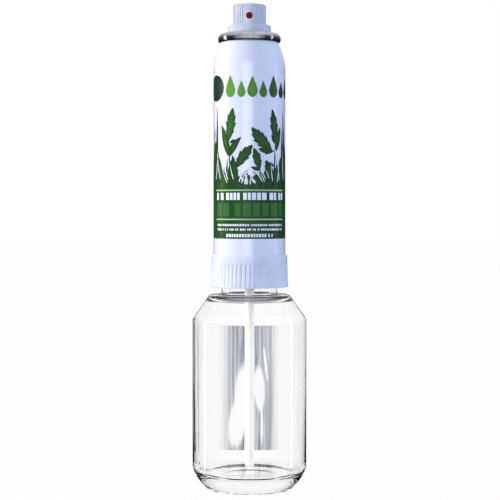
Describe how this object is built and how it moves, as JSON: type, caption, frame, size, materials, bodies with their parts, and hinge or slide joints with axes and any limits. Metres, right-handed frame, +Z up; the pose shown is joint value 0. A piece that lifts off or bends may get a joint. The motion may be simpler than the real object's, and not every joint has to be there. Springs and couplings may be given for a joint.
{
  "type": "hand mister",
  "caption": "Propellant jar sprayer: small aerosol can with push button screwed by a fluted collar onto a clear glass jar, with a dip tube that feeds liquid to the nozzle.",
  "frame": {"origin": "centre of the ring that the jar stands on", "axes": "+Z up along the jar's and the can's axis, nozzle facing -Y, +X to the right seen from the nozzle side"},
  "size_m": [0.0604, 0.0604, 0.2549],
  "materials": {
    "glass": "clear pressed glass",
    "collar_plastic": "satin moulded",
    "liner_foam": "closed-cell foam",
    "can_lacquer": "white gloss lacquer",
    "tinplate": "bright rolled tinplate",
    "black_rubber": "moulded",
    "valve_plastic": "moulded",
    "spring_steel": "drawn wire",
    "button_plastic": "satin moulded",
    "nozzle_red": "moulded",
    "tube_plastic": "extruded, translucent"
  },
  "bodies": {
    "jar_body": {"jar": "glass"},
    "power_unit": {"can_body": "can_lacquer", "valve_cup": "tinplate", "cup_gasket": "black_rubber", "stem_gasket": "black_rubber", "valve_housing": "valve_plastic", "venturi_jet": "valve_plastic", "return_spring": "spring_steel", "product_tube": "tube_plastic", "tail_fitting": "valve_plastic", "tail_gasket": "black_rubber", "retaining_ring": "spring_steel", "dip_tube": "tube_plastic"},
    "collar": {"screw_collar": "collar_plastic", "jar_gasket": "liner_foam"},
    "stem": {"valve_stem": "valve_plastic"},
    "actuator": {"actuator_button": "button_plastic", "nozzle_insert": "nozzle_red"}
  },
  "joints": [
    {"name": "power_unit_rise", "type": "slide", "parent": "jar_body", "child": "power_unit", "axis": [0, 0, 1], "range_m": [0, 0.0053]},
    {"name": "collar_turn", "type": "hinge", "parent": "power_unit", "child": "collar", "pos_m": [0, 0, 0.12225], "axis": [0, 0, 1], "range_deg": [0, 450]},
    {"name": "button_press", "type": "slide", "parent": "power_unit", "child": "stem", "axis": [0, 0, -1], "range_m": [0, 0.0016], "stiffness_N_per_m": 2500, "springref_m": -0.002, "deforming": ["return_spring"]},
    {"name": "actuator_turn", "type": "hinge", "parent": "stem", "child": "actuator", "pos_m": [0, 0, 0.2466], "axis": [0, 0, 1], "continuous": true}
  ],
  "couplings": [
    {"joint": "power_unit_rise", "follows": "collar_turn", "m_per_rad": 0.0006737}
  ]
}
